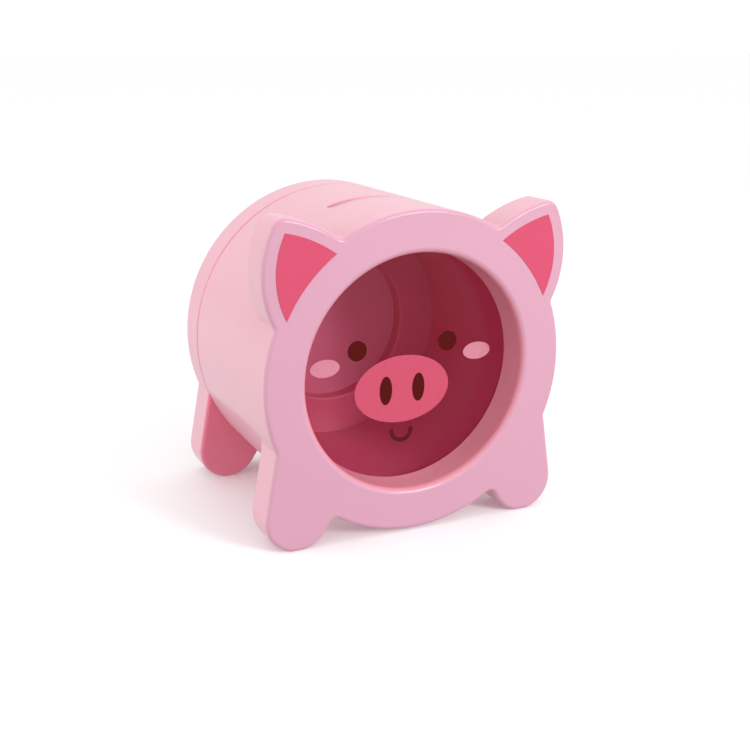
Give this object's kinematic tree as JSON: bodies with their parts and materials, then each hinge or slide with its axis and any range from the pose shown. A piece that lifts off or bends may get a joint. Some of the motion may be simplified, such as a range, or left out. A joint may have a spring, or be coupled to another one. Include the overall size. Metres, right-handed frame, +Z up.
{
  "type": "pig money box",
  "caption": "Wooden money box shaped like a pig, a barrel of painted rings between two boards, with a coin slot on top, a printed face on a clear window and a pull-out plug at the back.",
  "frame": {"origin": "on the table under the middle of the box", "axes": "+X to the pig's left (the right-hand side seen from the front), +Y from the face to the back along the barrel, +Z up"},
  "size_m": [0.1262, 0.0938, 0.1258],
  "materials": {
    "lilac_paint": "satin lilac-pink paint on wood",
    "pink_paint": "satin light pink paint on wood, raspberry inside the bore",
    "rose_paint": "satin rose paint on wood, light pink on its edge",
    "clear_acrylic": "clear polished acrylic",
    "beech": "plain beech",
    "black_rubber": "matt rubber",
    "rose_ink": "screen-printed rose ink",
    "brown_ink": "screen-printed dark brown ink",
    "blush_ink": "screen-printed blush ink",
    "red_ink": "screen-printed dark red ink"
  },
  "bodies": {
    "box": {"front_panel": "lilac_paint", "window_pane": "clear_acrylic", "body_ring_front": "pink_paint", "slot_ring": "pink_paint", "body_ring_middle": "pink_paint", "body_ring_rear": "pink_paint", "rear_panel": "rose_paint", "locating_dowels": "beech", "snout_print": "rose_ink", "nostril_prints": "brown_ink", "eye_prints": "brown_ink", "cheek_prints": "blush_ink", "mouth_print": "red_ink", "ear_prints": "rose_ink"},
    "plug": {"rear_plug": "lilac_paint", "plug_ring": "black_rubber"}
  },
  "joints": [
    {"name": "plug_pull", "type": "slide", "parent": "box", "child": "plug", "axis": [0, 1, 0], "range_m": [0, 0.02]}
  ]
}
